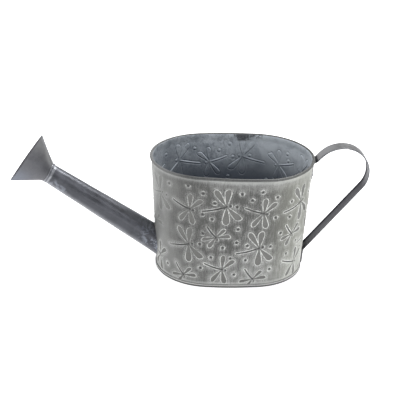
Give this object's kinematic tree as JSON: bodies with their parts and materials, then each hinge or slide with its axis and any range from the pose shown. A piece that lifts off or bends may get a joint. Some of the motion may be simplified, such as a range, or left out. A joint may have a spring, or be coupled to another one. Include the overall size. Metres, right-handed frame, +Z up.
{
  "type": "watering can",
  "caption": "Oval embossed sheet-metal watering can with a long straight spout, a fan-shaped rose and a strap loop handle.",
  "frame": {"origin": "middle of the underside of the base plate, on the surface that the can stands on", "axes": "+Z up out of the can's mouth, +X towards the handle, -X towards the spout, XZ is the plane of symmetry"},
  "size_m": [0.3962, 0.135, 0.1544],
  "materials": {
    "embossed_zinc": "galvanised steel sheet, vertically brushed and lightly whitewashed, matt",
    "steel_wire": "drawn steel wire",
    "base_zinc": "galvanised steel sheet, dull",
    "spout_zinc": "darkened zinc sheet, satin",
    "solder": "soft solder, satin",
    "rose_zinc": "darkened zinc sheet, satin",
    "handle_zinc": "darkened zinc strap, satin",
    "rivet_steel": "dull steel"
  },
  "bodies": {
    "root": {"body_wall": "embossed_zinc", "rim_wire": "steel_wire", "base_pan": "base_zinc", "spout_tube": "spout_zinc", "spout_solder": "solder", "rose_collar": "spout_zinc", "rose_shell": "rose_zinc", "rose_sieve": "rose_zinc", "handle_strap": "handle_zinc", "rivet_upper_front": "rivet_steel", "rivet_upper_back": "rivet_steel", "rivet_lower_front": "rivet_steel", "rivet_lower_back": "rivet_steel"}
  },
  "joints": []
}
